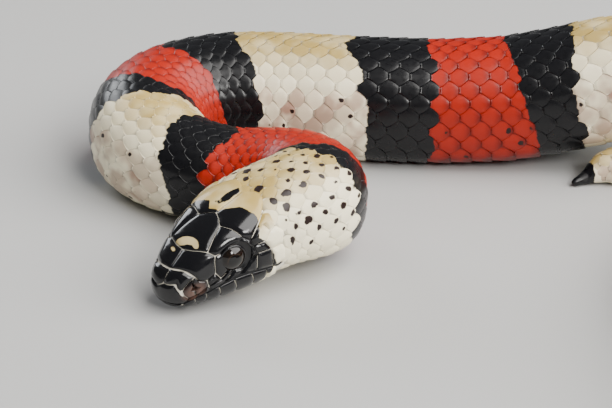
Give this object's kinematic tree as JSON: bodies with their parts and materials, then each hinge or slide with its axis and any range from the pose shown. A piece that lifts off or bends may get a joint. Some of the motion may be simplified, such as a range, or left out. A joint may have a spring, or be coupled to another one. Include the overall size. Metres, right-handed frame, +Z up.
{
  "type": "milk snake",
  "caption": "Life-size ringed milk snake lying in loose loops on its belly, its head lowered to the floor and turned back beside the body.",
  "frame": {"origin": "middle of the footprint's bounding box, on the floor the belly rests on", "axes": "+Z up; +X towards the picture's right, along the long straight pass of the body; +Y away from the picture's camera"},
  "size_m": [0.2268, 0.151, 0.0232],
  "materials": {
    "black_skin": "glossy black scales",
    "cream_skin": "glossy cream scales",
    "red_skin": "glossy orange-red scales",
    "eye": "polished near-black eye"
  },
  "bodies": {
    "root": {"head": "black_skin", "lower_jaw": "black_skin", "eye_left": "eye", "eye_right": "eye", "neck_front": "cream_skin", "neck_rear": "red_skin", "trunk_01": "black_skin", "trunk_02": "cream_skin", "trunk_03": "black_skin", "trunk_04": "red_skin", "trunk_05": "black_skin", "trunk_06": "cream_skin", "trunk_07": "black_skin", "trunk_08": "red_skin", "trunk_09": "black_skin", "trunk_10": "cream_skin", "trunk_11": "black_skin", "trunk_12": "red_skin", "trunk_13": "black_skin", "trunk_14": "cream_skin", "trunk_15": "black_skin", "tail_base": "black_skin", "tail_middle": "cream_skin", "tail_tip": "black_skin"}
  },
  "joints": []
}
